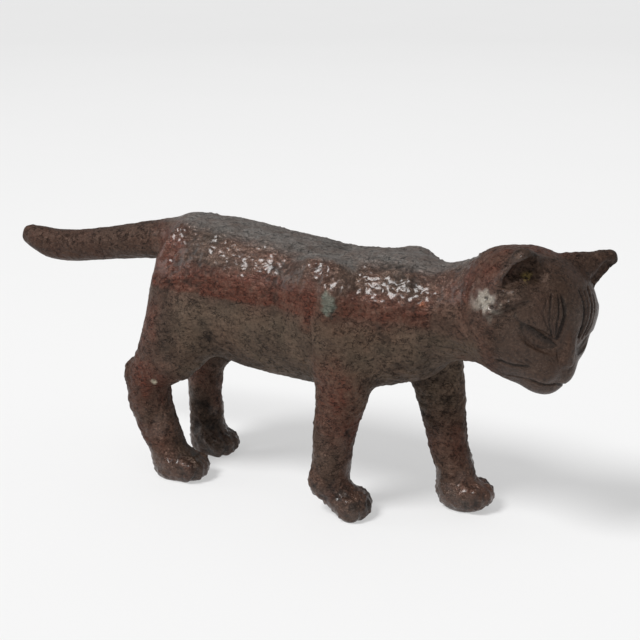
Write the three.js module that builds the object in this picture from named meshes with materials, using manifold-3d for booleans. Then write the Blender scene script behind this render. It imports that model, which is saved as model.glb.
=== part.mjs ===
// A walking cat, modelled by hand and cast in bronze in one piece.
// It stands on four paws, its head low and turned to its right, its tail straight out behind.
// The cat is drawn in figure units, in a frame with +X towards its head, +Y to its left and +Z up,
// as one field that is negative inside the bronze. The field is a chain of rounded forms that melt
// into each other, and the surface is the closed net of facets where the field is nought.

import * as THREE from 'three';
import { mergeVertices } from 'three/addons/utils/BufferGeometryUtils.js';
import Module from 'manifold-3d';

// Driving size, in millimetres: tip of the tail to the brow
const LENGTH = 566;

// Length of the drawing in figure units, and the millimetres in one of them
const FIGURE_LENGTH = 566;
const UNIT = LENGTH / FIGURE_LENGTH;

// Facet sizes along each axis, in figure units: rows of start, end and widest step
const GRID_X = [[-292, -116, 16], [-116, -36, 9.5], [-36, 72, 17], [72, 200, 9.5], [200, 320, 6.4]];
const GRID_Y = [[-77, 77, 7.7]];
const GRID_Z = [[-16, 32, 6.2], [32, 104, 13], [104, 136, 10], [136, 270, 6.8]];

// How finely a row of stations is followed
const STEPS_BETWEEN_STATIONS = 4;

// Stations of the long forms: x, y, z, half-width across the figure, half-depth in its plane
const TRUNK = [
  [-72, 0, 186, 40, 49],
  [-40, 0, 177, 49, 58],
  [0, 0, 170, 53, 60],
  [40, 0, 167, 54, 60],
  [80, 0, 165, 54, 58],
  [120, 0, 166, 50, 54],
  [155, 0, 171, 42, 47],
];
const NECK = [
  [130, 0, 178, 40, 44],
  [175, -2, 182, 37, 39],
  [205, -4, 188, 38, 41],
  [240, -8, 194, 42, 45],
];
const TAIL = [
  [-70, 0, 213, 21, 20],
  [-100, 0, 208, 17, 17.5],
  [-138, 0, 201, 15, 15.5],
  [-172, 0, 194.5, 14, 14.5],
  [-200, 0, 189.5, 13.5, 14.5],
  [-225, 0, 188, 13, 14],
  [-241, 0, 190.5, 12, 12],
  [-252, 0, 193, 9, 10],
];
const HIND_RIGHT = [
  [-50, -35, 168, 20, 36],
  [-65, -37, 128, 22, 33],
  [-90, -36, 97, 19, 20],
  [-95, -35, 72, 17, 21],
  [-89, -34, 50, 17, 19],
  [-80, -33, 30, 17, 17],
  [-74, -33, 14, 17, 17],
];
const HIND_LEFT = [
  [-48, 35, 168, 20, 37],
  [-66, 36, 125, 21, 33],
  [-80, 35, 92, 18, 20],
  [-82, 34, 60, 16, 16],
  [-80, 33, 35, 16, 16],
  [-79, 33, 14, 17, 16],
];
const FORE_RIGHT = [
  [94, -38, 182, 20, 34],
  [105, -39, 140, 20, 27],
  [103, -37, 112, 19, 23],
  [97, -35, 87, 17, 19.5],
  [93, -34, 65, 16, 18],
  [91, -33, 45, 15.5, 17],
  [89, -33, 30, 16, 17],
];
const FORE_LEFT = [
  [125, 37, 182, 20, 38],
  [143, 38, 140, 20, 32],
  [156, 36, 110, 17, 24],
  [168, 34, 55, 15.5, 17],
  [175, 33, 37, 15.5, 16.5],
  [177, 33, 20, 16, 17],
];

// The right forepaw is rolling forward, its heel off the ground
const ROLLING_PAW = [
  [86, -33, 23, 15, 12],
  [108, -33, 14, 17, 14],
];

// Point of the hock, and the shoulder blades: centre and radii
const HOCK = { centre: [-109, -36, 92], radii: [11, 10, 13] };
const RIGHT_SHOULDER = { centre: [84, -39, 190], radii: [30, 16, 34] };
const LEFT_SHOULDER = { centre: [137, 30, 190], radii: [24, 15, 34] };

// Paws: centre and radii of the pad, and where its row of toes ends
const PAWS = [
  { pad: [-65, -33, 11], radii: [22, 18, 16], toes: [-48, -33, 11] },
  { pad: [-72, 33, 11], radii: [19, 17, 15], toes: [-58, 33, 10] },
  { pad: [108, -33, 12], radii: [17, 17, 15], toes: [118, -33, 11] },
  { pad: [184, 33, 12], radii: [22, 18, 16], toes: [201, 33, 14] },
];
const TOE_RADII = [10, 5.5, 10.5];
const TOE_SPACING = 8;
const OUTER_TOE_SETBACK = 4;

// Head: its middle, and how far it turns left, nods down and leans to its left, in degrees
const HEAD_AT = new THREE.Vector3(252, -6, 190);
const HEAD_TURN = -28;
const HEAD_NOD = 11;
const HEAD_LEAN = 12;

// Places on the head are distances forward, to the left and up from its middle.
// Masses of the head: place and radii, and the width over which each melts in
const HEAD_MASSES = [
  { place: [-3, 0, 6], radii: [48, 49, 47.5], width: 18 },
  { place: [15, 3, 17], radii: [30, 41, 31], width: 12 },
  { place: [10, 0, -12], radii: [38, 41, 36], width: 14 },
  { place: [36, -8, -24], radii: [17, 13, 15], width: 8 },
  { place: [36, 8, -24], radii: [17, 13, 15], width: 8 },
  { place: [32, 0, -37], radii: [17, 16, 11], width: 6 },
  { place: [-10, -29, 28], radii: [26, 20, 22], width: 12 },
  { place: [2, -37, 33], radii: [18, 13, 21], width: 10 },
];

// Eyes: corners as on the left one, radii of the lens and how far it faces forward and outward
const EYE = { inner: [49, 11, -3], outer: [33, 38, 5], radii: [17, 5.5, 4.5], facing: [0.85, 0.52] };

// Ears: foot and tip, half-width and half-depth at the foot, middle and tip, and the hollow
const RIGHT_EAR = {
  foot: [4, -28, 34],
  tip: [14, -43, 54],
  sizes: [[24, 13], [17, 10], [8, 7]],
  hollow: [24, -38, 47],
  radii: [14, 10.5, 13],
};
const LEFT_EAR = {
  foot: [4, 29, 40],
  tip: [14, 50, 60],
  sizes: [[22, 13], [13, 10], [7, 6.5]],
  hollow: [26, 42, 46],
  radii: [13, 8, 13],
};

// Bridge of the nose: places with half-width and half-depth. Lips: the groove between them, as on
// the right side from the corner to the middle, and its radius
const NOSE_BRIDGE = [
  [41, 0, 14, 5, 6],
  [48, 0, -2, 5, 6],
  [51, 0, -12, 6, 5],
];
const LIPS = [[38, -22, -35], [49, -9, -35], [53, 0, -31]];
const LIP_GROOVE_RADIUS = 2.2;

const radians = THREE.MathUtils.degToRad;

// Axes of the head: forward out of the face, to its left, and up through its crown
function headAxes() {
  const turn = radians(HEAD_TURN);
  const nod = radians(HEAD_NOD);
  const lean = radians(HEAD_LEAN);
  const forward = new THREE.Vector3(
    Math.cos(turn) * Math.cos(nod),
    Math.sin(turn) * Math.cos(nod),
    -Math.sin(nod),
  );
  const left = new THREE.Vector3(-Math.sin(turn), Math.cos(turn), 0).applyAxisAngle(forward, -lean);
  const up = new THREE.Vector3().crossVectors(forward, left);
  return { forward, left, up };
}

const HEAD = headAxes();

// A point of the head from its distances forward, left and up
function onHead(forward, left, up) {
  return HEAD_AT.clone()
    .addScaledVector(HEAD.forward, forward)
    .addScaledVector(HEAD.left, left)
    .addScaledVector(HEAD.up, up);
}

// A smooth row of stations between the given ones, by the Catmull-Rom formula
function smoothStations(stations) {
  if (stations.length < 3) return stations;
  const mirrored = (end, next) => end.map((value, i) => 2 * value - next[i]);
  const last = stations.length - 1;
  const padded = [
    mirrored(stations[0], stations[1]),
    ...stations,
    mirrored(stations[last], stations[last - 1]),
  ];
  const rows = [];
  for (let s = 0; s < last; s += 1) {
    const [before, from, to, after] = padded.slice(s, s + 4);
    for (let step = 0; step < STEPS_BETWEEN_STATIONS; step += 1) {
      const t = step / STEPS_BETWEEN_STATIONS;
      rows.push(from.map((value, i) => 0.5 * (
        2 * value
        + (to[i] - before[i]) * t
        + (2 * before[i] - 5 * value + 4 * to[i] - after[i]) * t * t
        + (3 * value - before[i] - 3 * to[i] + after[i]) * t * t * t)));
    }
  }
  rows.push(stations[last]);
  return rows;
}

// Field of a round-ended form that follows a row of stations. The half-width lies along the side
// direction, a power over 2 squares the section, and cap shortens the ends.
function limb(stations, { side = new THREE.Vector3(0, 1, 0), power = 2, cap = 1 } = {}) {
  const rows = smoothStations(stations);
  const pieces = rows.slice(1).map((end, i) => {
    const start = rows[i];
    const run = new THREE.Vector3(end[0] - start[0], end[1] - start[1], end[2] - start[2]);
    const axis = run.clone().normalize();
    const across = side.clone().addScaledVector(axis, -side.dot(axis)).normalize();
    const depth = new THREE.Vector3().crossVectors(axis, across);
    return { start, end, axis, across, depth, length: run.length() };
  });
  return (x, y, z) => {
    let nearest = Infinity;
    for (const { start, end, axis, across, depth, length } of pieces) {
      let dx = x - start[0];
      let dy = y - start[1];
      let dz = z - start[2];
      const t = Math.min(Math.max((dx * axis.x + dy * axis.y + dz * axis.z) / length, 0), 1);
      dx -= t * length * axis.x;
      dy -= t * length * axis.y;
      dz -= t * length * axis.z;
      const width = start[3] + t * (end[3] - start[3]);
      const height = start[4] + t * (end[4] - start[4]);
      const reach = 0.5 * cap * (width + height);
      const a = Math.abs(dx * across.x + dy * across.y + dz * across.z) / width + 1e-9;
      const b = Math.abs(dx * depth.x + dy * depth.y + dz * depth.z) / height + 1e-9;
      const c = Math.abs(dx * axis.x + dy * axis.y + dz * axis.z) / reach + 1e-9;
      const k = (a ** power + b ** power + c ** power) ** (1 / power);
      const slope = Math.hypot(a ** (power - 1) / width, b ** (power - 1) / height, c ** (power - 1) / reach)
        / k ** (power - 1);
      nearest = Math.min(nearest, (k - 1) / slope);
    }
    return nearest;
  };
}

// Field of an ellipsoid with its radii along three axes
function egg(centre, radii, axes = [[1, 0, 0], [0, 1, 0], [0, 0, 1]]) {
  return (x, y, z) => {
    let inner = 0;
    let outer = 0;
    for (let i = 0; i < 3; i += 1) {
      const along = (x - centre[0]) * axes[i][0] + (y - centre[1]) * axes[i][1] + (z - centre[2]) * axes[i][2];
      inner += (along / radii[i]) ** 2;
      outer += (along / radii[i] ** 2) ** 2;
    }
    inner = Math.sqrt(inner) + 1e-9;
    outer = Math.sqrt(outer) + 1e-9;
    return inner * (inner - 1) / outer;
  };
}

// An ellipsoid set square to the head
function headEgg({ place, radii }) {
  const axes = [HEAD.forward, HEAD.left, HEAD.up].map((axis) => axis.toArray());
  return egg(onHead(...place).toArray(), radii, axes);
}

// Two fields melted together over a width, and one carved out of another
function melt(a, b, width) {
  const h = Math.max(width - Math.abs(a - b), 0) / width;
  return Math.min(a, b) - h * h * width / 4;
}

function carve(a, b, width) {
  const h = Math.max(width - Math.abs(a + b), 0) / width;
  return Math.max(a, -b) + h * h * width / 4;
}

// The body, from the trunk outwards: each form with the width over which it melts in
function bodyForms() {
  const forms = [
    { field: limb(TRUNK, { power: 2.5, cap: 0.45 }), width: 1 },
    { field: limb(NECK), width: 22 },
    { field: limb(TAIL), width: 8 },
    { field: limb(HIND_RIGHT), width: 15 },
    { field: limb(HIND_LEFT), width: 15 },
    { field: limb(FORE_RIGHT), width: 10 },
    { field: limb(FORE_LEFT), width: 10 },
    { field: egg(HOCK.centre, HOCK.radii), width: 8 },
    { field: egg(RIGHT_SHOULDER.centre, RIGHT_SHOULDER.radii), width: 12 },
    { field: egg(LEFT_SHOULDER.centre, LEFT_SHOULDER.radii), width: 12 },
    { field: limb(ROLLING_PAW), width: 8 },
  ];
  for (const paw of PAWS) {
    forms.push({ field: egg(paw.pad, paw.radii), width: 8 });
    for (let toe = 0; toe < 4; toe += 1) {
      const setback = toe === 0 || toe === 3 ? OUTER_TOE_SETBACK : 0;
      const centre = [paw.toes[0] - setback, paw.toes[1] + (toe - 1.5) * TOE_SPACING, paw.toes[2]];
      forms.push({ field: egg(centre, TOE_RADII), width: 3 });
    }
  }
  return forms;
}

// An ear: a leaf that leans out and up from the skull, and the hollow carved into its front
function earForms({ foot, tip, sizes, hollow, radii }) {
  const from = onHead(...foot);
  const to = onHead(...tip);
  const across = new THREE.Vector3().crossVectors(HEAD.forward, to.clone().sub(from)).normalize();
  const stations = [from, from.clone().lerp(to, 0.5), to].map((place, i) => [...place, ...sizes[i]]);
  return [
    { field: limb(stations, { side: across, cap: 0.8 }), width: 6 },
    { field: headEgg({ place: hollow, radii }), width: 3, carved: true },
  ];
}

// An eye: a long shallow lens, carved so that the brow makes a straight slanting lid above it
function eye(side) {
  const [inner, outer] = [EYE.inner, EYE.outer].map(([forward, left, up]) => onHead(forward, side * left, up));
  const along = outer.clone().sub(inner).normalize();
  const facing = HEAD.forward.clone().multiplyScalar(EYE.facing[0])
    .addScaledVector(HEAD.left, side * EYE.facing[1]);
  facing.addScaledVector(along, -facing.dot(along)).normalize();
  const across = new THREE.Vector3().crossVectors(facing, along);
  const middle = inner.lerp(outer, 0.5);
  return egg(middle.toArray(), EYE.radii, [along.toArray(), across.toArray(), facing.toArray()]);
}

// The head: its masses, then eyes, ears, the bridge of the nose and the groove between the lips
function headForms() {
  const forms = HEAD_MASSES.map((mass) => ({ field: headEgg(mass), width: mass.width }));
  forms.push({ field: eye(-1), width: 2, carved: true });
  forms.push({ field: eye(1), width: 2, carved: true });
  forms.push(...earForms(RIGHT_EAR), ...earForms(LEFT_EAR));
  const bridge = NOSE_BRIDGE.map(([forward, left, up, ...size]) => [...onHead(forward, left, up), ...size]);
  const leftLips = LIPS.slice(0, -1).reverse().map(([forward, left, up]) => [forward, -left, up]);
  const lips = [...LIPS, ...leftLips]
    .map((place) => [...onHead(...place), LIP_GROOVE_RADIUS, LIP_GROOVE_RADIUS]);
  forms.push({ field: limb(bridge, { side: HEAD.left, power: 3.2 }), width: 3 });
  forms.push({ field: limb(lips, { side: HEAD.up }), width: 2, carved: true });
  return forms;
}

const FORMS = [...bodyForms(), ...headForms()];

// The whole cat's field at a point
function cat(x, y, z) {
  let value = 1e6;
  for (const { field, width, carved } of FORMS) {
    value = carved ? carve(value, field(x, y, z), width) : melt(value, field(x, y, z), width);
  }
  return value;
}

// Grid lines from rows of start, end and widest step
function gridLines(bands) {
  const lines = [bands[0][0]];
  for (const [start, end, widest] of bands) {
    const count = Math.ceil((end - start) / widest);
    for (let i = 1; i <= count; i += 1) {
      lines.push(start + (end - start) * i / count);
    }
  }
  return lines;
}

// Moves a point on to the surface, down the slope of the field
function settle(point, field) {
  const nudge = 0.5;
  const furthest = 4;
  for (let round = 0; round < 3; round += 1) {
    const value = Math.min(Math.max(field(...point), -furthest), furthest);
    const slope = [0, 1, 2].map((axis) => {
      const ahead = [...point];
      const behind = [...point];
      ahead[axis] += nudge;
      behind[axis] -= nudge;
      return (field(...ahead) - field(...behind)) / (2 * nudge);
    });
    const steepness = Math.max(slope[0] ** 2 + slope[1] ** 2 + slope[2] ** 2, 0.2);
    for (let axis = 0; axis < 3; axis += 1) {
      point[axis] -= value * slope[axis] / steepness;
    }
  }
  return point;
}

// A closed net of facets where a field is nought: one vertex in each grid cell that the surface
// crosses, and one four-sided facet round each grid edge that it crosses
function netOf(field, lines) {
  const [nx, ny, nz] = lines.map((row) => row.length);
  const values = new Float32Array(nx * ny * nz);
  const at = (i, j, k) => (i * ny + j) * nz + k;
  for (let i = 0; i < nx; i += 1) {
    for (let j = 0; j < ny; j += 1) {
      for (let k = 0; k < nz; k += 1) {
        values[at(i, j, k)] = field(lines[0][i], lines[1][j], lines[2][k]);
      }
    }
  }

  closePinches(values, [nx, ny, nz], at);

  const vertices = [];
  const vertexOf = new Map();
  for (let i = 0; i < nx - 1; i += 1) {
    for (let j = 0; j < ny - 1; j += 1) {
      for (let k = 0; k < nz - 1; k += 1) {
        const crossing = meanCrossing([i, j, k], values, at, lines);
        if (crossing) {
          vertexOf.set(at(i, j, k), vertices.length);
          vertices.push(settle(crossing, field));
        }
      }
    }
  }

  const triangles = [];
  for (let axis = 0; axis < 3; axis += 1) {
    const second = (axis + 1) % 3;
    const third = (axis + 2) % 3;
    for (let i = 1; i < nx - 1; i += 1) {
      for (let j = 1; j < ny - 1; j += 1) {
        for (let k = 1; k < nz - 1; k += 1) {
          const here = [i, j, k];
          const next = [i, j, k];
          next[axis] += 1;
          const solidHere = values[at(...here)] < 0;
          const solidNext = values[at(...next)] < 0;
          if (solidHere === solidNext) continue;
          const corners = [[1, 1], [0, 1], [0, 0], [1, 0]].map(([back, down]) => {
            const cell = [...here];
            cell[second] -= back;
            cell[third] -= down;
            return vertexOf.get(at(...cell));
          });
          if (!solidHere) corners.reverse();
          triangles.push(...splitFacet(corners, vertices));
        }
      }
    }
  }
  return { vertices, triangles };
}

// Fills grid points one by one until no cell holds two separate sheets of surface, and no side of
// a cell has solid at two opposite corners alone, because the net would touch itself there
function closePinches(values, [nx, ny, nz], at) {
  const bits = [0, 1, 2, 3, 4, 5, 6, 7];
  const offset = (corner) => at(corner & 1, (corner >> 1) & 1, corner >> 2);
  const sides = [0, 1, 2].flatMap((axis) => [0, 1].map((level) => (
    bits.filter((corner) => ((corner >> axis) & 1) === level))));
  const joined = (corners) => {
    const reached = new Set(corners.slice(0, 1));
    for (const corner of reached) {
      for (const step of [1, 2, 4]) {
        if (corners.includes(corner ^ step)) reached.add(corner ^ step);
      }
    }
    return reached.size === corners.length;
  };
  let filled = true;
  while (filled) {
    filled = false;
    for (let i = 0; i < nx - 1; i += 1) {
      for (let j = 0; j < ny - 1; j += 1) {
        for (let k = 0; k < nz - 1; k += 1) {
          const base = at(i, j, k);
          const solid = bits.filter((corner) => values[base + offset(corner)] < 0);
          if (solid.length < 2 || solid.length > 6) continue;
          const open = bits.filter((corner) => !solid.includes(corner));
          const pinched = sides.some(([a, b, c, d]) => (
            solid.includes(a) === solid.includes(d)
            && solid.includes(b) === solid.includes(c)
            && solid.includes(a) !== solid.includes(b)));
          if (!pinched && joined(solid) && joined(open)) continue;
          open.sort((p, q) => values[base + offset(p)] - values[base + offset(q)]);
          values[base + offset(open[0])] = -1e-3;
          filled = true;
        }
      }
    }
  }
}

// Mean of the places where the surface crosses a cell's twelve edges, or null where it misses it
function meanCrossing(cell, values, at, lines) {
  const total = [0, 0, 0];
  let count = 0;
  for (let axis = 0; axis < 3; axis += 1) {
    for (let a = 0; a < 2; a += 1) {
      for (let b = 0; b < 2; b += 1) {
        const start = [...cell];
        start[(axis + 1) % 3] += a;
        start[(axis + 2) % 3] += b;
        const end = [...start];
        end[axis] += 1;
        const from = values[at(...start)];
        const to = values[at(...end)];
        if ((from < 0) === (to < 0)) continue;
        const t = from / (from - to);
        for (let m = 0; m < 3; m += 1) {
          total[m] += lines[m][start[m]] + t * (lines[m][end[m]] - lines[m][start[m]]);
        }
        count += 1;
      }
    }
  }
  return count > 0 ? total.map((sum) => sum / count) : null;
}

// Two triangles from a four-sided facet, split on its shorter diagonal
function splitFacet([a, b, c, d], vertices) {
  const gap = (p, q) => Math.hypot(...vertices[p].map((value, i) => value - vertices[q][i]));
  return gap(a, c) <= gap(b, d) ? [a, b, c, a, c, d] : [a, b, d, b, c, d];
}

const wasm = await Module();
wasm.setup();

function solidFrom(vertices, triangles) {
  return new wasm.Manifold(new wasm.Mesh({
    numProp: 3,
    vertProperties: new Float32Array(vertices),
    triVerts: new Uint32Array(triangles),
  }));
}

// The solid left when everything under the ground plane is cut off, so that the soles are flat
function cutAtGround(solid) {
  const bounds = solid.boundingBox();
  const margin = 10 * UNIT;
  const below = new THREE.BoxGeometry(
    bounds.max[0] - bounds.min[0] + 2 * margin,
    bounds.max[1] - bounds.min[1] + 2 * margin,
    margin - bounds.min[2],
  );
  below.translate(
    (bounds.min[0] + bounds.max[0]) / 2,
    (bounds.min[1] + bounds.max[1]) / 2,
    (bounds.min[2] - margin) / 2,
  );
  below.deleteAttribute('normal');
  below.deleteAttribute('uv');
  const merged = mergeVertices(below);
  return solid.subtract(solidFrom(merged.attributes.position.array, merged.index.array));
}

// The finished cast, standing with the middle of its outline over the origin
function castGeometry() {
  const net = netOf(cat, [GRID_X, GRID_Y, GRID_Z].map(gridLines));
  const vertices = net.vertices.flat().map((value) => value * UNIT);
  const mesh = cutAtGround(solidFrom(vertices, net.triangles)).getMesh();
  const geometry = new THREE.BufferGeometry();
  geometry.setAttribute('position', new THREE.BufferAttribute(new Float32Array(mesh.vertProperties), 3));
  geometry.setIndex(new THREE.BufferAttribute(new Uint32Array(mesh.triVerts), 1));
  geometry.computeBoundingBox();
  const middle = geometry.boundingBox.getCenter(new THREE.Vector3());
  geometry.translate(-middle.x, -middle.y, -geometry.boundingBox.min.z);
  geometry.computeVertexNormals();
  return geometry;
}

const bronze = new THREE.MeshStandardMaterial({ color: 0x4b3a33, roughness: 0.45, metalness: 0.8 });
const cast = new THREE.Mesh(castGeometry(), bronze);
cast.name = 'cat';

const group = new THREE.Group();
group.add(cast);

export default group;
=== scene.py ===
"""A walking cat cast in bronze, with its hand-modelled surface and its patina, on a pale studio sweep."""

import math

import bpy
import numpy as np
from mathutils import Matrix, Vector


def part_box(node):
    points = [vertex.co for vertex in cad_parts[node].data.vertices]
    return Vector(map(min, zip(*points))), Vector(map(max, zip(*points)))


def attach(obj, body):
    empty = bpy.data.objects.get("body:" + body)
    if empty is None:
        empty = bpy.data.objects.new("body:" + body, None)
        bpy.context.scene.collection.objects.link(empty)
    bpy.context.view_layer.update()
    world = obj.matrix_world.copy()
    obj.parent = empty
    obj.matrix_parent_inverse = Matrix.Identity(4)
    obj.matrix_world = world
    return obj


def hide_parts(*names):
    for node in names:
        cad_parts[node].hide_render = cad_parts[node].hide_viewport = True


bl_info = {
    "name": "Walking Bronze Cat",
    "version": (1, 0, 0),
    "blender": (4, 5, 0),
    "location": "View3D > Sidebar > Bronze Cat",
    "description": "Builds a hand-modelled walking cat with a patinated bronze surface",
    "category": "Add Mesh",
}

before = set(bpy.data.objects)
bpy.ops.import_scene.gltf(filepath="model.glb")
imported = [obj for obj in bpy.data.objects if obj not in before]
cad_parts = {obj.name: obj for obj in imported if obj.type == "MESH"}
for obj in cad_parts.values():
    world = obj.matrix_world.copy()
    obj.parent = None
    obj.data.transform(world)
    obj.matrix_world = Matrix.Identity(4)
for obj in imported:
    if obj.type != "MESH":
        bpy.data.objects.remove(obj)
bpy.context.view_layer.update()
CAST_NODE = "cat"
CAST_LOW, CAST_HIGH = (np.array(corner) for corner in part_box(CAST_NODE))

# The cat is drawn in figure units, with +X towards its head, +Y to its left and +Z up.
# The drawing's length gives the metres in one unit, and its middle stands over the frame's origin.
FIGURE_LENGTH = 566.3
FIGURE_MIDDLE = (21.70, -0.72)
UNIT = (CAST_HIGH[0] - CAST_LOW[0]) / FIGURE_LENGTH

# Facet sizes of the first net along each axis: rows of start, end and widest step
GRID_X = ((-292, -116, 4.8), (-116, 204, 4.4), (204, 320, 3.3))
GRID_Y = ((-77, 77, 3.9),)
GRID_Z = ((-16, 136, 4.3), (136, 270, 3.5))

# Stations of the long forms: x, y, z, half-width across the figure, half-depth in its plane
TRUNK = (
    (-72, 0, 186, 40, 49), (-40, 0, 177, 49, 58), (0, 0, 170, 53, 60), (40, 0, 167, 54, 60),
    (80, 0, 165, 54, 58), (120, 0, 166, 50, 54), (155, 0, 171, 42, 47),
)
NECK = (
    (130, 0, 178, 40, 44), (175, -2, 182, 37, 39), (205, -4, 188, 38, 41), (240, -8, 194, 42, 45),
)
TAIL = (
    (-70, 0, 213, 21, 20), (-100, 0, 208, 17, 17.5), (-138, 0, 201, 15, 15.5),
    (-172, 0, 194.5, 14, 14.5), (-200, 0, 189.5, 13.5, 14.5), (-225, 0, 188, 13, 14),
    (-241, 0, 190.5, 12, 12), (-252, 0, 193, 9, 10),
)
HIND_RIGHT = (
    (-50, -35, 168, 20, 36), (-65, -37, 128, 22, 33), (-90, -36, 97, 19, 20),
    (-95, -35, 72, 17, 21), (-89, -34, 50, 17, 19), (-80, -33, 30, 17, 17), (-74, -33, 14, 17, 17),
)
HIND_LEFT = (
    (-48, 35, 168, 20, 37), (-66, 36, 125, 21, 33), (-80, 35, 92, 18, 20), (-82, 34, 60, 16, 16),
    (-80, 33, 35, 16, 16), (-79, 33, 14, 17, 16),
)
FORE_RIGHT = (
    (94, -38, 182, 20, 34), (105, -39, 140, 20, 27), (103, -37, 112, 19, 23),
    (97, -35, 87, 17, 19.5), (93, -34, 65, 16, 18), (91, -33, 45, 15.5, 17), (89, -33, 30, 16, 17),
)
FORE_LEFT = (
    (125, 37, 182, 20, 38), (143, 38, 140, 20, 32), (156, 36, 110, 17, 24), (168, 34, 55, 15.5, 17),
    (175, 33, 37, 15.5, 16.5), (177, 33, 20, 16, 17),
)
ROLLING_PAW = ((86, -33, 24, 15, 11.5), (106, -33, 14, 15, 12.5))

# Paws: centre and radii of the pad, and the place of its row of toes
PAWS = (
    ((-65, -33, 11), (22, 18, 16), (-48, -33, 11)),
    ((-72, 33, 11), (19, 17, 15), (-58, 33, 10)),
    ((110, -33, 11), (15, 15.5, 12.5), (118, -33, 10)),
    ((184, 33, 12), (22, 18, 16), (201, 33, 14)),
)
TOE_RADII = (10, 5.5, 10.5)
TOE_SPACING = 8
OUTER_TOE_SETBACK = 4
PAW_MELT, TOE_MELT = 8, 3.6

# The right hock and the two shoulder blades: centre, radii and melt width
BODY_MASSES = (
    ((-109, -36, 92), (11, 10, 13), 8),
    ((84, -39, 190), (30, 16, 34), 12),
    ((137, 30, 190), (24, 15, 34), 12),
)

# Head: its middle, and how far it turns left, nods down and leans to its left, in degrees. A place
# in the head is its distances forward, to the left and up from that middle.
HEAD_AT = np.array((252.0, -6.0, 190.0))
HEAD_TURN, HEAD_NOD, HEAD_LEAN = -28, 11, 12

# Skull, brow, cheeks, lips and chin: place in the head, radii and melt width
HEAD_MASSES = (
    ((-3, 0, 6), (48, 49, 47.5), 18),
    ((15, 3, 17), (30, 41, 31), 12),
    ((10, 0, -12), (38, 41, 36), 14),
    ((36, -8, -24), (17, 13, 15), 8),
    ((36, 8, -24), (17, 13, 15), 8),
    ((32, 0, -37), (17, 16, 11), 6),
)
RIGHT_EAR_ROOTS = (
    ((-10, -29, 28), (26, 20, 22), 12),
    ((2, -37, 33), (18, 13, 21), 10),
)

# Bridge of the nose: forward, left, up, half-width and half-depth
BRIDGE = ((41, 0, 14, 5, 6), (48, 0, -2, 5, 6), (51, 0, -12, 6, 5))

# The eyes' sockets: corners of the left one, radii, edge width, and how far each faces out
EYE_INNER, EYE_OUTER = (49, 11, -5), (33, 38, 3)
EYE_RADII, EYE_EDGE = (17, 7.5, 2.4), 2.5
EYE_FORWARD, EYE_OUTWARD = 0.85, 0.52

# Ears: foot and tip in the head, half-widths and half-depths of the foot, middle and tip, and the
# hollow's stations: forward, left, up and two half-sizes
RIGHT_EAR = {
    "foot": (4, -28, 34),
    "tip": (14, -43, 54),
    "sizes": ((24, 13), (17, 10), (8, 7)),
    "hollow": ((13, -47, 33, 6, 3.5), (20, -40, 45, 11, 9), (25, -31, 44, 9, 6.5)),
}
LEFT_EAR = {
    "foot": (4, 29, 40),
    "tip": (14, 50, 60),
    "sizes": ((22, 13), (13, 10), (7, 6.5)),
    "hollow": ((25, 37, 38, 12, 7), (26, 44, 51, 12, 7.5)),
}

# The eyes' lids, as lines of the head's left and up, mirrored to both sides
UPPER_LID = ((10.5, 21, 31, 41), (-2.2, 2.6, 6.2, 9.5))
LOWER_LID = ((10.5, 13, 17, 24, 30, 36, 41), (-2.2, -4.6, -6.2, -6.0, -3.0, 2.5, 9.5))

STEPS_BETWEEN_STATIONS = 4

# A distance past any in the figure, and a number too small to matter in a divisor
FAR = 1e6
TINY = 1e-9

# How far past its own box a form can still melt into the rest
FORM_MARGIN = 26

# Longest move that settles a point on the surface, and the least squared slope to divide by
LONGEST_MOVE = 4
LEAST_SLOPE = 0.2

# The face, which has a finer net: how far forward it starts, and its half-width and half-height
FACE_START, FACE_HALF_WIDTH, FACE_HALF_HEIGHT = 16, 42, 46

# The camera's aim and distance in figure units, and its degrees round from the right and above
VIEW_TARGET = (0, 104.6, 120)
VIEW_DISTANCE = 1400
VIEW_ROUND, VIEW_ABOVE = 30, 17

# Directions from the cat to the two lights
KEY_DIRECTION = (-0.23, -0.57, 0.79)
STRIP_DIRECTION = (-0.89, -0.36, 0.28)

# The floor's reach each way and the distances over which painted shade darkens it, in metres, and by how much
FLOOR_REACH = 30.0
DARKENS_FROM, DARKENS_TO, DARKENS_BY = 0.3, 3.5, 0.14


def head_axes():
    """Rows that point forward out of the face, to the head's left and up through its crown."""
    turn, nod, lean = (math.radians(angle) for angle in (HEAD_TURN, HEAD_NOD, HEAD_LEAN))
    forward = np.array((math.cos(turn) * math.cos(nod), math.sin(turn) * math.cos(nod), -math.sin(nod)))
    level = np.array((-math.sin(turn), math.cos(turn), 0))
    over = np.cross(forward, level)
    left = level * math.cos(lean) - over * math.sin(lean)
    up = over * math.cos(lean) + level * math.sin(lean)
    return np.stack((forward, left, up))


HEAD = head_axes()


def on_head(forward, left, up):
    """A point of the head from its distances forward, left and up."""
    return HEAD_AT + np.array((forward, left, up), float) @ HEAD


def in_head(points):
    """Distances forward, left and up in the head of points of the figure."""
    return (points - HEAD_AT) @ HEAD.T


def smooth_stations(stations):
    """More stations between the given ones, by the Catmull-Rom cubic through each four in a row."""
    rows = np.array(stations, float)
    if len(rows) < 3:
        return rows
    padded = np.vstack((2 * rows[0] - rows[1], rows, 2 * rows[-1] - rows[-2]))
    t = (np.arange(STEPS_BETWEEN_STATIONS) / STEPS_BETWEEN_STATIONS)[:, None]
    smooth = [
        0.5 * (2 * b + (c - a) * t + (2 * a - 5 * b + 4 * c - d) * t**2 + (3 * b - a - 3 * c + d) * t**3)
        for a, b, c, d in zip(padded, padded[1:], padded[2:], padded[3:])
    ]
    return np.vstack(smooth + [rows[-1:]])


def length_of(vectors):
    return np.sqrt((vectors * vectors).sum(-1))


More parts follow.
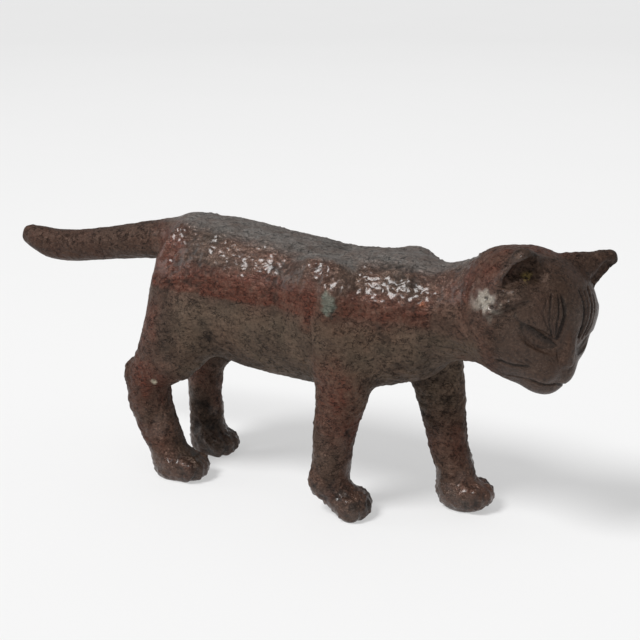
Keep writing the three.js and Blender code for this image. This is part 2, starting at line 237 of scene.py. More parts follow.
class Form:
    """A rounded form: its field, the box it lies in and the width over which it joins the rest."""

    def __init__(self, field, low, high, width, carved=False):
        self.field = field
        self.low = np.array(low, float) - FORM_MARGIN
        self.high = np.array(high, float) + FORM_MARGIN
        self.width = width
        self.carved = carved

    def apply(self, points, values):
        """Joins the form to, or carves it out of, the values of the points near it."""
        near = ((points > self.low) & (points < self.high)).all(-1)
        if near.any():
            blend = carve if self.carved else melt
            values[near] = blend(values[near], self.field(points[near]), self.width)


def melt(a, b, width):
    """The smaller of two fields, rounded where they lie within a width of each other."""
    h = np.maximum(width - np.abs(a - b), 0) / width
    return np.minimum(a, b) - h * h * width / 4


def carve(a, b, width):
    """The first field with the second taken out of it, rounded where they meet."""
    return -melt(-a, b, width)


def limb(stations, width, side=(0, 1, 0), power=2.0, cap=1.0, carved=False):
    """A round-ended form along stations. Near each piece of its axis the field is the distance
    measured in half-widths, (|a|^n + |b|^n + |c|^n)^(1/n) - 1, over the length of its slope."""
    rows = smooth_stations(stations)
    reach = rows[:, 3:].max(1)[:, None]

    def field(points):
        nearest = np.full(len(points), FAR)
        for start, end in zip(rows[:-1], rows[1:]):
            run = end[:3] - start[:3]
            axis = run / length_of(run)
            across = side - (side @ axis) * axis
            across = across / length_of(across)
            depth = np.cross(axis, across)
            t = np.clip((points - start[:3]) @ run / (run @ run), 0, 1)
            offset = points - start[:3] - t[:, None] * run
            half_width = start[3] + t * (end[3] - start[3])
            half_depth = start[4] + t * (end[4] - start[4])
            sizes = np.stack((half_width, half_depth, 0.5 * cap * (half_width + half_depth)), -1)
            q = np.abs(offset @ np.stack((across, depth, axis), 1)) / sizes + TINY
            k = (q**power).sum(-1) ** (1 / power)
            slope = length_of(q ** (power - 1) / sizes) / k ** (power - 1)
            nearest = np.minimum(nearest, (k - 1) / slope)
        return nearest

    side = np.array(side, float)
    low = (rows[:, :3] - reach).min(0)
    high = (rows[:, :3] + reach).max(0)
    return Form(field, low, high, width, carved)


def egg(centre, radii, width, axes=np.eye(3), carved=False):
    """An ellipsoid: with k0 = |q/r| and k1 = |q/r^2|, the field is k0 (k0 - 1) / k1."""
    centre, radii = np.array(centre, float), np.array(radii, float)

    def field(points):
        q = (points - centre) @ axes.T
        inner = length_of(q / radii) + TINY
        outer = length_of(q / radii**2) + TINY
        return inner * (inner - 1) / outer

    return Form(field, centre - radii.max(), centre + radii.max(), width, carved)


def paw_forms():
    """Pads, and four toes side by side across the front of each."""
    forms = [limb(ROLLING_PAW, PAW_MELT)]
    for pad, radii, toes in PAWS:
        forms.append(egg(pad, radii, PAW_MELT))
        for toe in range(4):
            setback = OUTER_TOE_SETBACK if toe in (0, 3) else 0
            place = (toes[0] - setback, toes[1] + (toe - 1.5) * TOE_SPACING, toes[2])
            forms.append(egg(place, TOE_RADII, TOE_MELT))
    return forms


def body_forms():
    """Trunk, neck, tail, legs, hock and shoulder blades, from the trunk outwards."""
    forms = [limb(TRUNK, width=1, power=2.5, cap=0.45), limb(NECK, width=22), limb(TAIL, width=8)]
    forms += [limb(leg, width=15) for leg in (HIND_RIGHT, HIND_LEFT)]
    forms += [limb(leg, width=10) for leg in (FORE_RIGHT, FORE_LEFT)]
    return forms + [egg(*mass) for mass in BODY_MASSES] + paw_forms()


def head_stations(rows):
    """Rows of forward, left, up and two sizes, with the places carried into the figure."""
    return [(*on_head(*row[:3]), *row[3:]) for row in rows]


def ear(foot, tip, sizes, hollow):
    """A leaf that leans out and up from the skull, and the hollow carved into its front."""
    foot, tip = on_head(*foot), on_head(*tip)
    middle = 0.5 * (foot + tip)
    across = np.cross(HEAD[0], tip - foot)
    leaf = [(*place, *size) for place, size in zip((foot, middle, tip), sizes)]
    bowl = limb(head_stations(hollow), width=4.5, side=HEAD[0], carved=True)
    return [limb(leaf, width=6, side=across, cap=0.8), bowl]


def eye(side):
    """The shallow socket of an eye, carved under the slanting edge of the brow."""
    inner, outer = (on_head(forward, side * left, up) for forward, left, up in (EYE_INNER, EYE_OUTER))
    along = (outer - inner) / length_of(outer - inner)
    facing = EYE_FORWARD * HEAD[0] + side * EYE_OUTWARD * HEAD[1]
    facing = facing - (facing @ along) * along
    facing = facing / length_of(facing)
    axes = np.stack((along, np.cross(facing, along), facing))
    return egg(0.5 * (inner + outer), EYE_RADII, EYE_EDGE, axes, carved=True)


def head_mass(place, radii, width):
    """A rounded mass that turns with the head."""
    return egg(on_head(*place), radii, width, HEAD)


def head_forms():
    """Masses of the head, then the eyes' sockets, the ears and the bridge of the nose."""
    forms = [head_mass(*mass) for mass in HEAD_MASSES] + [eye(-1), eye(1)]
    forms += [head_mass(*mass) for mass in RIGHT_EAR_ROOTS]
    forms += ear(**RIGHT_EAR) + ear(**LEFT_EAR)
    return forms + [limb(head_stations(BRIDGE), width=3, side=HEAD[1], power=3.2)]


FORMS = body_forms() + head_forms()


def cat_field(points):
    """The whole cat's field: negative inside the bronze, and cut off flat at the ground."""
    values = np.full(len(points), FAR)
    for form in FORMS:
        form.apply(points, values)
    return np.maximum(values, -points[:, 2])


def field_slope(points, nudge=0.4):
    """Gradient of the field by differences on both sides."""
    steps = nudge * np.eye(3)
    return np.stack([(cat_field(points + s) - cat_field(points - s)) / (2 * nudge) for s in steps], -1)


def settle(points, rounds):
    """Moves points on to the surface, down the slope of the field."""
    for _ in range(rounds):
        slope = field_slope(points)
        value = np.clip(cat_field(points), -LONGEST_MOVE, LONGEST_MOVE)
        points = points - (value / np.maximum((slope * slope).sum(-1), LEAST_SLOPE))[:, None] * slope
    return points


def grid_lines(bands):
    """Grid lines from rows of start, end and widest step."""
    runs = [np.linspace(a, b, math.ceil((b - a) / step) + 1)[1:] for a, b, step in bands]
    return np.concatenate([[bands[0][0]]] + runs)


def surface_net(lines):
    """A closed net: a vertex in each grid cell that the surface crosses, at the mean of its
    crossings, and a four-sided facet round each grid edge that it crosses, as two triangles."""
    x, y, z = np.meshgrid(*lines, indexing="ij")
    values = cat_field(np.stack((x, y, z), -1).reshape(-1, 3)).reshape(x.shape)
    solid = values < 0
    cells = np.array(solid.shape) - 1
    corners = [(i, j, k) for i in (0, 1) for j in (0, 1) for k in (0, 1)]

    def part(array, corner):
        return array[tuple(slice(c, c + n) for c, n in zip(corner, cells))]

    count = sum(part(solid, corner).astype(np.int8) for corner in corners)
    mixed = (count > 0) & (count < 8)
    number = np.full(mixed.shape, -1)
    at = np.argwhere(mixed)
    number[mixed] = np.arange(len(at))
    total, hits = np.zeros((len(at), 3)), np.zeros(len(at))
    for corner in corners:
        for axis in range(3):
            if corner[axis]:
                continue
            start = at + corner
            end = start + np.eye(3, dtype=int)[axis]
            a, b = values[tuple(start.T)], values[tuple(end.T)]
            hit = (a < 0) != (b < 0)
            share = np.where(hit, a / np.where(hit, a - b, 1), 0)
            place = np.stack([lines[m][start[:, m]] for m in range(3)], -1)
            place[:, axis] += share * (lines[axis][end[:, axis]] - lines[axis][start[:, axis]])
            total += place * hit[:, None]
            hits += hit
    quads = []
    for axis in range(3):
        second, third = (axis + 1) % 3, (axis + 2) % 3
        here = np.take(solid, range(solid.shape[axis] - 1), axis)
        beyond = np.take(solid, range(1, solid.shape[axis]), axis)
        edges = np.argwhere(here != beyond)
        outward = here[tuple(edges.T)]
        quad = []
        for back, down in ((1, 1), (0, 1), (0, 0), (1, 0)):
            cell = edges.copy()
            cell[:, second] -= back
            cell[:, third] -= down
            quad.append(number[tuple(cell.T)])
        quad = np.stack(quad, -1)
        quad[~outward] = quad[~outward][:, ::-1]
        quads.append(quad)
    points = settle(total / hits[:, None], 2)
    a, b, c, d = np.vstack(quads).T
    shorter = length_of(points[a] - points[c]) <= length_of(points[b] - points[d])
    first = np.where(shorter[:, None], np.stack((a, b, c), -1), np.stack((a, b, d), -1))
    last = np.where(shorter[:, None], np.stack((a, c, d), -1), np.stack((b, c, d), -1))
    return points, np.vstack((first, last))


def refine(points, triangles, marked):
    """Splits each marked triangle into four at its edges' middles, and its neighbours to match."""
    corners = np.stack((triangles, np.roll(triangles, -1, 1)), -1)
    edges = np.sort(corners.reshape(-1, 2), 1)
    unique, index = np.unique(edges, axis=0, return_inverse=True)
    index = index.reshape(-1, 3)
    split = np.zeros(len(unique), bool)
    split[index[marked].ravel()] = True
    middle = np.where(split, len(points) + np.cumsum(split) - 1, -1)
    points = np.vstack((points, 0.5 * (points[unique[split, 0]] + points[unique[split, 1]])))
    m = middle[index]
    count = (m >= 0).sum(1)
    # Turned so that the split edge comes first where there is one, and the whole edge last of two.
    turn = np.where(count == 1, np.argmax(m >= 0, 1), np.where(count == 2, np.argmin(m >= 0, 1) + 1, 0)) % 3
    order = (turn[:, None] + np.arange(3)) % 3
    t = np.take_along_axis(triangles, order, 1)
    m = np.take_along_axis(m, order, 1)
    a, b, c = t.T
    ab, bc, ca = m.T
    parts = (
        (count == 0, ((a, b, c),)),
        (count == 1, ((a, ab, c), (ab, b, c))),
        (count == 2, ((ab, b, bc), (a, ab, bc), (a, bc, c))),
        (count == 3, ((a, ab, ca), (ab, b, bc), (ca, bc, c), (ab, bc, ca))),
    )
    rows = [np.stack(corner, -1)[chosen] for chosen, corner_sets in parts for corner in corner_sets]
    return points, np.vstack(rows)


def vertex_normals(points, triangles):
    """Outward directions at the vertices, as area-weighted means of their triangles'."""
    a, b, c = (points[triangles[:, i]] for i in range(3))
    faces = np.cross(b - a, c - a)
    total = np.stack(
        [sum(np.bincount(triangles[:, i], faces[:, k], len(points)) for i in range(3)) for k in range(3)], -1
    )
    return total / np.maximum(length_of(total), TINY)[:, None]


def ramp(low, high, value):
    """0 below low, 1 above high, and a smooth S between them."""
    t = np.clip((value - low) / (high - low), 0, 1)
    return t * t * (3 - 2 * t)


def between(low, start, end, high, value):
    """1 from start to end, 0 below low and above high, and a smooth S between them."""
    return ramp(low, start, value) * (1 - ramp(end, high, value))


def lattice_random(cells, seed):
    """A repeatable number from 0 to 1 for each whole-number cell, from a sine's far digits."""
    mixed = cells @ np.array((12.9898, 78.233, 37.719)) + 57.31 * seed
    return np.modf(np.abs(np.sin(mixed) * 43758.5453))[0]


def noise(points, size, seed=0):
    """Smooth noise from -1 to 1: random numbers on a lattice, blended by S-shaped shares."""
    q = points / size
    base = np.floor(q)
    t = q - base
    t = t * t * (3 - 2 * t)
    total = np.zeros(len(points))
    for i in (0, 1):
        for j in (0, 1):
            for k in (0, 1):
                share = np.prod(np.where((i, j, k), t, 1 - t), -1)
                total += share * lattice_random(base + (i, j, k), seed)
    return 2 * total - 1


def pellets(points, size, tilt, seed=0):
    """Dabs of clay pressed side by side, one to a lattice cell. Each has a crown over its random
    middle and a random slant, and both sink to 0 in the crease between two dabs."""
    q = points / size
    base = np.floor(q)
    first, second = np.full(len(points), FAR), np.full(len(points), FAR)
    slant = np.zeros(len(points))
    for offset in ((i, j, k) for i in (-1, 0, 1) for j in (-1, 0, 1) for k in (-1, 0, 1)):
        cell = base + offset
        shift, lean = (
            np.stack([lattice_random(cell, seed + 3 * part + n) for n in range(3)], -1) - 0.5
            for part in (0, 1)
        )
        away = q - (cell + 0.5 + 0.8 * shift)
        gap = length_of(away)
        slant = np.where(gap < first, (away * lean).sum(-1), slant)
        second = np.minimum(second, np.maximum(first, gap))
        first = np.minimum(first, gap)
    return ramp(0, 0.32, second - first) * (0.7 - 0.5 * first + tilt * slant)


def slanted(points, angle, stretch):
    """Points turned by an angle in the figure's plane and shortened along the turned X."""
    turn = math.radians(angle)
    along = points[:, 0] * math.cos(turn) + points[:, 2] * math.sin(turn)
    over = -points[:, 0] * math.sin(turn) + points[:, 2] * math.cos(turn)
    return np.stack((along / stretch, points[:, 1], over), -1)


# Lines cut into the head: rows of left and up, then half-width and depth. The brow's lines differ
# from side to side, and the face's are mirrored.
BROW_LINES = (
    ([(-26, 29), (-26.8, 19), (-21.5, 9)], 0.8, 0.8),
    ([(-22.5, 34), (-23.2, 20), (-18, 4)], 0.9, 1.2),
    ([(-20.2, 26), (-19.8, 16), (-16.8, 6)], 0.7, 0.6),
    ([(-17, 34), (-16.4, 21), (-15.4, 7)], 0.9, 1.1),
    ([(-13.5, 34), (-11.0, 21), (-13.2, 4)], 1.6, 1.9),
    ([(3, 40), (8, 28), (9.5, 16), (7, 7)], 1.4, 1.6),
    ([(8.5, 40), (12, 27), (12.6, 18), (10, 9)], 0.8, 0.8),
    ([(14, 41), (17, 27), (16.5, 14), (12, 6)], 1.0, 1.3),
    ([(20, 37), (22, 27), (21, 16), (17, 8)], 0.9, 1.0),
)
FACE_LINES = (
    ([(37, -13), (32, -16), (24, -20.5)], 0.8, 0.7),
    ([(39, -19), (32, -21), (25, -22.5)], 0.8, 0.6),
    ([(37, -28), (32, -27), (25, -24.5)], 1.6, 1.4),
    (list(zip(*UPPER_LID)), 0.7, 0.7),
    (list(zip(*LOWER_LID)), 0.9, 0.6),
    ([(25, -38), (19, -34.5), (8, -34.5), (0, -32.5)], 1.0, 1.4),
    ([(9, -6), (7.5, -13), (5, -18)], 0.9, 0.5),
)
# The right ear's sharp outer rim in the head, from its tip down
EAR_RIM = ((19, -47, 57), (14, -49, 45), (9, -50, 33), (4, -50, 24))

# Casting pin holes beside the right ear, and the smooth patch round them, in the head. A highlight is painted
# pale on that patch.
PIN_HOLES = ((2, -52, 14), (10, -50, 11), (0, -53, 7), (18, -45, 22))
PIN_HOLE_RADIUS, PIN_HOLE_DEPTH = 1.5, 2.2
HIGHLIGHT_PATCH, HIGHLIGHT_PATCH_RADIUS = (7, -50, 13), 15

# Bare metal in the right ear, and the front of its hollow, also in the head
BARE_METAL, EAR_FRONT = (17, -33, 40), (26, -22, 42)

# Marks on the body, with half-sizes: a worn green patch as x and z, a rust spot and a wax drip
GREEN_PATCH, GREEN_SIZES = (102, 192), (6.5, 9.5)
RUST_SPOT = (175, -38, 197)
WAX_DRIP, WAX_DRIP_SIZES = (-78, -52, 93), (2.2, 4, 3.2)


def distance_to_line(flat, line):
    """Distance of points in a plane or in space from a smooth line through a few of its points."""
    nearest = np.full(len(flat), FAR)
    rows = smooth_stations(line)
    for start, end in zip(rows[:-1], rows[1:]):
        run = end - start
        t = np.clip((flat - start) @ run / (run @ run), 0, 1)
        nearest = np.minimum(nearest, length_of(flat - start - t[:, None] * run))
    return nearest


def face_cuts(places):
    """Depth of the lines cut in the face: each is depth * exp(-(distance / half-width)^2), with
    raised lips beside it, drawn by a hand that strays and presses unevenly."""
    total, lips = np.zeros(len(places)), np.zeros(len(places))
    wobble = np.stack((noise(places, 7, 51), noise(places, 7, 52)), -1) * 0.8
    pressure = 0.95 + 0.45 * noise(places, 7, 53)
    drawn = places[:, 1:]
    mirrored = np.stack((np.abs(places[:, 1]), places[:, 2]), -1)
    for flat, rows in ((drawn, BROW_LINES), (mirrored, FACE_LINES)):
        for line, half_width, depth in rows:
            away = distance_to_line(flat + wobble, line) / half_width
            total = np.maximum(total, pressure * depth * np.exp(-(away**2)))
            lips = np.maximum(lips, 0.3 * depth * np.exp(-((away - 2.1) ** 2)))
    return (total - lips * (total < 0.3)) * ramp(12, 22, places[:, 0])


def eye_step(places):
    """Depth of the eyeballs behind the upper lids, which step over them and sink away downwards."""
    outward = np.abs(places[:, 1])
    below = np.interp(outward, *UPPER_LID) - places[:, 2]
    above = places[:, 2] - np.interp(outward, *LOWER_LID)
    inside = ramp(-0.4, 0.7, below) * ramp(-0.6, 1.0, above) * ramp(10.5, 13, outward) * ramp(41, 38, outward)
    return 1.2 * inside * np.exp(-np.maximum(below, 0) / 5) * ramp(18, 26, places[:, 0])


def plate_edges(points):
    """Steps where the haunch lies over the root of the tail and each shoulder over the flank."""
    x, y, z = points.T
    behind = x + 69 - 0.53 * (z - 221)
    haunch = ramp(-0.8, 0.4, behind) * (1 - ramp(1, 22, behind)) * ramp(186, 204, z) * ramp(12, 24, np.abs(y))
    blade_edge = np.where(y < 8, 87 + 6 * ramp(175, 200, z), 118)
    behind = x - blade_edge
    blade = ramp(-1.5, 1.5, behind) * (1 - ramp(5, 42, behind)) * ramp(116, 132, z)
    return 3.0 * haunch + np.where(y < 8, 1.7, 0.3) * blade


def cheek_edge(places):
    """The slanting rim of the neck's smooth patch over the right cheek."""
    forward, left, up = places.T
    beyond = (20 * (forward - 8) - 18 * (up - 3)) / 26.9
    along = (18 * (forward - 8) + 20 * (up - 3)) / 26.9
    rim = between(-15, -1, -0.5, 1.8, beyond) * between(-7, 0, 26, 34, along)
    return 4.2 * rim * ramp(26, 34, -left)


def worked_regions(points, normals):
    """Shares from 0 to 1 of the regions that are each worked in their own way."""
    x, _, z = points.T
    facing_up = normals[:, 2]
    head = ramp(212, 228, x)
    face = head * ramp(18, 32, in_head(points)[:, 0])
    trunk = ramp(-76, -58, x) * (1 - head)
    dabbed = trunk * between(0.12, 0.42, 0.88, 0.97, facing_up) * ramp(172, 192, z)
    top = trunk * ramp(0.9, 0.98, facing_up) * ramp(180, 200, z)
    low = 1 - ramp(96, 126, z)
    side = trunk * (1 - np.maximum(dabbed, top)) * (1 - low)
    return head, face, dabbed, top, side, low, 1 - ramp(22, 36, z), 1 - ramp(-96, -80, x)


def relief(points, normals):
    """Height of the modelled surface over the smooth form, in figure units, with the depth of the
    lines and pits cut in it and how coarsely the clay is worked."""
    places = in_head(points)
    head, face, dabbed, top, side, low, paw, tail = worked_regions(points, normals)

    # Dabs and crumbs of clay, strongest along the edges of the back
    dabs = pellets(slanted(points, 62, 1.5), 6.2, 3.4, 1) - 0.3
    crumbs = pellets(slanted(points, 48, 1.4), 4.4, 3.4, 11) - 0.3
    height = (0.16 + 0.84 * dabbed) * (1 - 0.5 * low) * (1 - 0.8 * face) * (0.85 * dabs + 0.60 * crumbs)

    # Broad unevenness, then the strokes and lumps of each region
    height += (0.55 * noise(points, 24, 21) + 0.32 * noise(points, 10, 22)) * (1 - 0.7 * face)
    height += side * (0.42 * noise(slanted(points, -24, 3.0), 2.8, 23) + 0.22 * crumbs)
    height += top * (0.34 * noise(slanted(points, 12, 2.5), 3.0, 24) + 0.25 * crumbs)
    height += low * (0.55 * crumbs + 0.5 * noise(points, 5.5, 25))
    height += paw * (0.9 * noise(points, 7.5, 26) + 0.4 * crumbs)
    height += tail * 0.45 * noise(points * (0.18, 1, 1), 3.2, 27)
    height += head * (1 - face) * 0.35 * noise(slanted(points, 35, 3.0), 2.8, 28)
    height += 0.16 * noise(points, 2.6, 29) * (1 - 0.5 * face)

    # Pits, the edges of the masses and the right ear's rim
    pits = ramp(0.52, 0.80, noise(points, 3.4, 30)) * np.maximum(0.8 * low * (1 - paw), 0.35 * side)
    height += plate_edges(points) + head * cheek_edge(places) - 0.9 * pits
    height += head * 1.6 * np.exp(-((distance_to_line(places, EAR_RIM) / 2.4) ** 2))

    cuts = head * (face_cuts(places) + eye_step(places))
    for hole in PIN_HOLES:
        away = length_of(places - hole) / PIN_HOLE_RADIUS
        cuts = np.maximum(cuts, PIN_HOLE_DEPTH * np.exp(-(away**2)))
    coarse = np.maximum.reduce((0.35 + 0.25 * dabbed, 0.7 * low, 0.5 * tail, 0.45 * top)) * (1 - 0.7 * face)
    return height - cuts, np.maximum(cuts, 0.8 * pits), coarse


def broad_tints(points, normals):
    """Warm red-brown in a band with a sharp lower edge along the body, dull olive below it, a pale
    painted sheen of reflected light on the upward flat of the back, and deep brown on the tail, the face and
    low on the sides."""
    x, _, z = points.T
    facing_up = normals[:, 2]
    wander = 3.0 * noise(points, 16, 31) + 1.6 * noise(points, 6, 32)
    cloud = noise(points, 30, 33) + 0.6 * noise(points, 12, 34)
    level = z + wander
    above_edge = ramp(178, 181, level)
    flank = above_edge * (1 - ramp(199, 209, level)) * between(-84, -76, 88, 98, x)
    haunch = above_edge * (1 - ramp(-60, -42, x + wander)) * ramp(-100, -84, x)
    seam = np.exp(-(((x - 82) / 8) ** 2)) * between(158, 170, 206, 214, z)
    shoulder = between(176, 184, 196, 206, level) * between(104, 114, 176, 190, x)
    neck = between(186, 198, 246, 262, x) * ramp(196, 208, level) * (1 - ramp(236, 250, z))
    band = np.maximum.reduce((flank, haunch, 0.9 * seam, 0.8 * shoulder, 0.85 * neck))
    rear = (1 - ramp(-78, -60, x)) * between(50, 80, 150, 178, z)
    elbow = between(78, 88, 108, 130, x) * between(50, 80, 120, 170, z)
    ends = np.maximum(0.45 * (1 - ramp(-104, -80, x)), 0.3 * ramp(222, 240, x))
    faint = 0.55 * rear + 0.5 * elbow + ends + 0.2 + 0.34 * cloud
    warm = np.maximum(band * (1 - ramp(0.45, 0.85, facing_up)), faint)
    dull = (1 - ramp(168, 180, level)) * between(-66, -40, 222, 240, x) * ramp(60, 110, z)
    dull = np.clip(dull * (0.85 + 0.5 * cloud), 0, 1) * (1 - 0.5 * elbow)
    # Painted sheen: the flat of the back that faces up is painted paler, in place of the light it reflects
    painted_sheen = between(-112, -70, 205, 225, x) * ramp(0.80, 0.97, facing_up) * ramp(184, 200, z)
    painted_sheen = painted_sheen * (0.85 + 0.3 * noise(points, 9, 35))
    shade = ramp(0.05, 0.55, noise(points, 20, 41) + 0.5 * noise(points, 8, 42)) * (1 - ramp(150, 185, z))
    face = ramp(225, 250, x) * ramp(-4, 12, in_head(points)[:, 0])
    deep = np.maximum(0.65 * (1 - ramp(-110, -88, x)) + 0.85 * face, 0.6 * shade)
    return {"warm": warm, "dull": dull, "painted_sheen": painted_sheen, "deep": deep}


def small_marks(points):
    """The ragged green patch, the spot of rust, the drip of wax and the bare metal in the ear."""
    x, y, z = points.T
    forward = x - GREEN_PATCH[0]
    upward = z - GREEN_PATCH[1] + 0.4 * forward
    ragged = (forward / GREEN_SIZES[0]) ** 2 + (upward / GREEN_SIZES[1]) ** 2
    ragged = ragged + 0.7 * noise(points, 5, 36) + 0.4 * noise(points, 2.4, 38)
    from_drip = length_of((points - WAX_DRIP) / WAX_DRIP_SIZES)
    from_metal = length_of(in_head(points) - BARE_METAL)
    return {
        "green": (1 - ramp(0.5, 1.2, ragged)) * (y < 0),
        "rust": np.exp(-(length_of(points - RUST_SPOT) ** 2) / 5),
        "wax_and_painted_glare": 1 - ramp(0.7, 1.2, from_drip),
        "gold": np.exp(-(from_metal**2) / 14) * ramp(-0.2, 0.5, noise(points, 2.2, 37)),
    }


def shine(points, normals, patch):
    """Where the wax shines: the edges of the back, the smooth patch, paws, face and right ear's rim."""
    x, _, z = points.T
    places = in_head(points)
    back = between(0.12, 0.42, 0.86, 0.96, normals[:, 2]) * ramp(184, 200, z)
    back = back * between(-112, -70, 205, 225, x)
    face = ramp(14, 30, places[:, 0]) * ramp(225, 240, x) * ramp(14, 22, length_of(places - EAR_FRONT))
    paws = 0.7 * (1 - ramp(20, 34, z)) + 0.6 * (1 - ramp(45, 85, z)) * ramp(0.0, 0.5, noise(points, 11, 40))
    rim = np.exp(-((distance_to_line(places, EAR_RIM) / 4) ** 2))
    return np.maximum.reduce((0.85 * back, 1.2 * patch, paws, 0.35 * face, rim))


def patina_masks(points, normals, height, cuts, coarse):
    """Where each tint of the patina lies, from 0 to 1, with dark wax left in the hollows. The patch
    beside the right ear is smooth and shining, and a highlight is painted on it in pale and cream tints, with
    less red."""
    forward, _, up = in_head(points).T
    patch = np.exp(-(((forward - 2) / 15) ** 2) - ((up - 12) / 11) ** 2)
    patch = patch * (points[:, 1] < -20) * ramp(205, 225, points[:, 0])
    # Painted highlight: the patch is painted pale and cream where light would glare on it, and its red is
    # taken out
    painted_highlight_patch = patch * ramp(-0.3, 0.4, noise(points, 5, 43) + 1.5 * (patch - 0.4))
    masks = {**broad_tints(points, normals), **small_marks(points)}
    masks["warm"] = masks["warm"] * (1 - 0.8 * patch)
    masks["painted_sheen"] = np.maximum(masks["painted_sheen"], 0.9 * painted_highlight_patch)
    masks["wax_and_painted_glare"] = np.maximum(masks["wax_and_painted_glare"], 0.32 * painted_highlight_patch)
    masks["sheen"] = shine(points, normals, patch)
    masks["hollow"] = np.maximum(ramp(0.25, 1.1, -height), 0.9 * ramp(0.3, 1.4, cuts))
    masks["coarse"] = coarse * (1 - 0.8 * patch)
    return {name: np.clip(mask, 0, 1) for name, mask in masks.items()}


def build_cast(depth):
    """Points and triangles of the finished cast in figure units, and the masks of its patina."""
    points, triangles = surface_net([grid_lines(bands) for bands in (GRID_X, GRID_Y, GRID_Z)])
    points, triangles = refine(points, triangles, np.ones(len(triangles), bool))
    middles = in_head(points[triangles].mean(1))
    beside, above = np.abs(middles[:, 1]), np.abs(middles[:, 2])
    face = (middles[:, 0] > FACE_START) & (beside < FACE_HALF_WIDTH) & (above < FACE_HALF_HEIGHT)
    painted_highlight_patch = length_of(middles - HIGHLIGHT_PATCH) < HIGHLIGHT_PATCH_RADIUS
    points, triangles = refine(points, triangles, face | painted_highlight_patch)
    points = settle(points, 1)
    normals = vertex_normals(points, triangles)
    height, cuts, coarse = relief(points, normals)
    height = depth * height * ramp(0, 2.5, points[:, 2])
    points = points + height[:, None] * normals
    points[:, 2] = np.maximum(points[:, 2], 0)
    return points, triangles, patina_masks(points, normals, height, cuts, coarse)


def to_frame(points):
    """Figure units to metres in the frame, with the drawing's middle over the origin."""
    return (np.asarray(points, float) - (*FIGURE_MIDDLE, 0)) * UNIT


def inside_cast(points):
    """Points drawn in along each axis where they reach past the box of the solid cast."""
    low, high = points.min(0), points.max(0)
    size = CAST_HIGH - CAST_LOW
    share = np.minimum(size / (high - low), 1)
    fitted = (points - low) * share
    rest = size - (high - low) * share
    start = np.clip(low, CAST_LOW, CAST_LOW + rest)
    start[2] = CAST_LOW[2]
    return fitted + start


def mesh_object(name, points, faces):
    mesh = bpy.data.meshes.new(name)
    mesh.from_pydata(points.tolist(), [], faces.tolist())
    mesh.validate()
    thing = bpy.data.objects.new(name, mesh)
    bpy.context.scene.collection.objects.link(thing)
    return thing


def float_attribute(mesh, name, values):
    """Stores one number at each vertex."""
    mesh.attributes.new(name, "FLOAT", "POINT").data.foreach_set("value", values.astype(np.float32))


# Sockets of a colour mix: its share, its two colours and its result
MIX_SHARE, MIX_COLOURS, MIX_RESULT = 0, (6, 7), 2


class NodeSheet:
    """Adds nodes to a material and joins them with short calls."""

    def __init__(self, material):
        material.use_nodes = True
        self.tree = material.node_tree
        self.tree.nodes.clear()

    def feed(self, socket, value):
        """Links the socket to another, or else sets it."""
        if isinstance(value, bpy.types.NodeSocket):
            self.tree.links.new(value, socket)
        else:
            socket.default_value = value

    def add(self, kind, settings=None, **inputs):
        """A shader node with its settings and inputs. Inputs' names have _ for spaces."""
        node = self.tree.nodes.new("ShaderNode" + kind)
        for name, value in (settings or {}).items():
            setattr(node, name, value)
        for name, value in inputs.items():
            self.feed(node.inputs[name.replace("_", " ")], value)
        return node

    def attribute(self, name):
        return self.add("Attribute", {"attribute_name": name}).outputs["Fac"]

    def noise(self, vector, size, detail=4.0, roughness=0.6):
        """Noise with waves of about that length in metres."""
        shape = {"Scale": 1 / size, "Detail": detail, "Roughness": roughness}
        return self.add("TexNoise", Vector=vector, **shape).outputs["Fac"]

    def creases(self, vector, size, width):
        """Thin winding lines where a noise crosses its middle, 1 along them and 0 beside."""
        away = self.math("ABSOLUTE", self.math("SUBTRACT", self.noise(vector, size, 3.0, 0.55), 0.5), 0.0)
        return self.span(away, 0.0, width, 1.0, 0.0)

    def turned(self, vector, angle, stretch):
        """Coordinates turned about Y and stretched along the turned X."""
        rotation, scale = (0, angle, 0), (1 / stretch, 1, 1)
        return self.add("Mapping", Vector=vector, Rotation=rotation, Scale=scale).outputs["Vector"]

    def math(self, operation, first, second):
        node = self.add("Math", {"operation": operation})
        self.feed(node.inputs[0], first)
        self.feed(node.inputs[1], second)
        return node.outputs[0]

    def span(self, value, low, high, start=0.0, end=1.0):
        """The value, clipped from low to high and carried to start and end."""
        limits = {"From_Min": low, "From_Max": high, "To_Min": start, "To_Max": end}
        return self.add("MapRange", Value=value, **limits).outputs[0]

    def mix(self, share, first, second):
        """Two colours mixed by a share from 0 to 1."""
        node = self.add("Mix", {"data_type": "RGBA"})
        self.feed(node.inputs[MIX_SHARE], share)
        for index, colour in zip(MIX_COLOURS, (first, second)):
            linked = isinstance(colour, bpy.types.NodeSocket)
            self.feed(node.inputs[index], colour if linked else (*colour[:3], 1))
        return node.outputs[MIX_RESULT]


# Sizes of the patina's and the clay's markings, in metres
CLOUD_SIZE, BLOT_SIZE, SPECK_SIZE = 0.022, 0.006, 0.0022
CREASE_SIZES, CHIP_SIZE, STROKE_SIZES, GRAIN_SIZE = (0.007, 0.006), 0.0042, (0.0030, 0.0025), 0.0012
LUMP_HEIGHT, GRAIN_HEIGHT = 0.0016, 0.0005


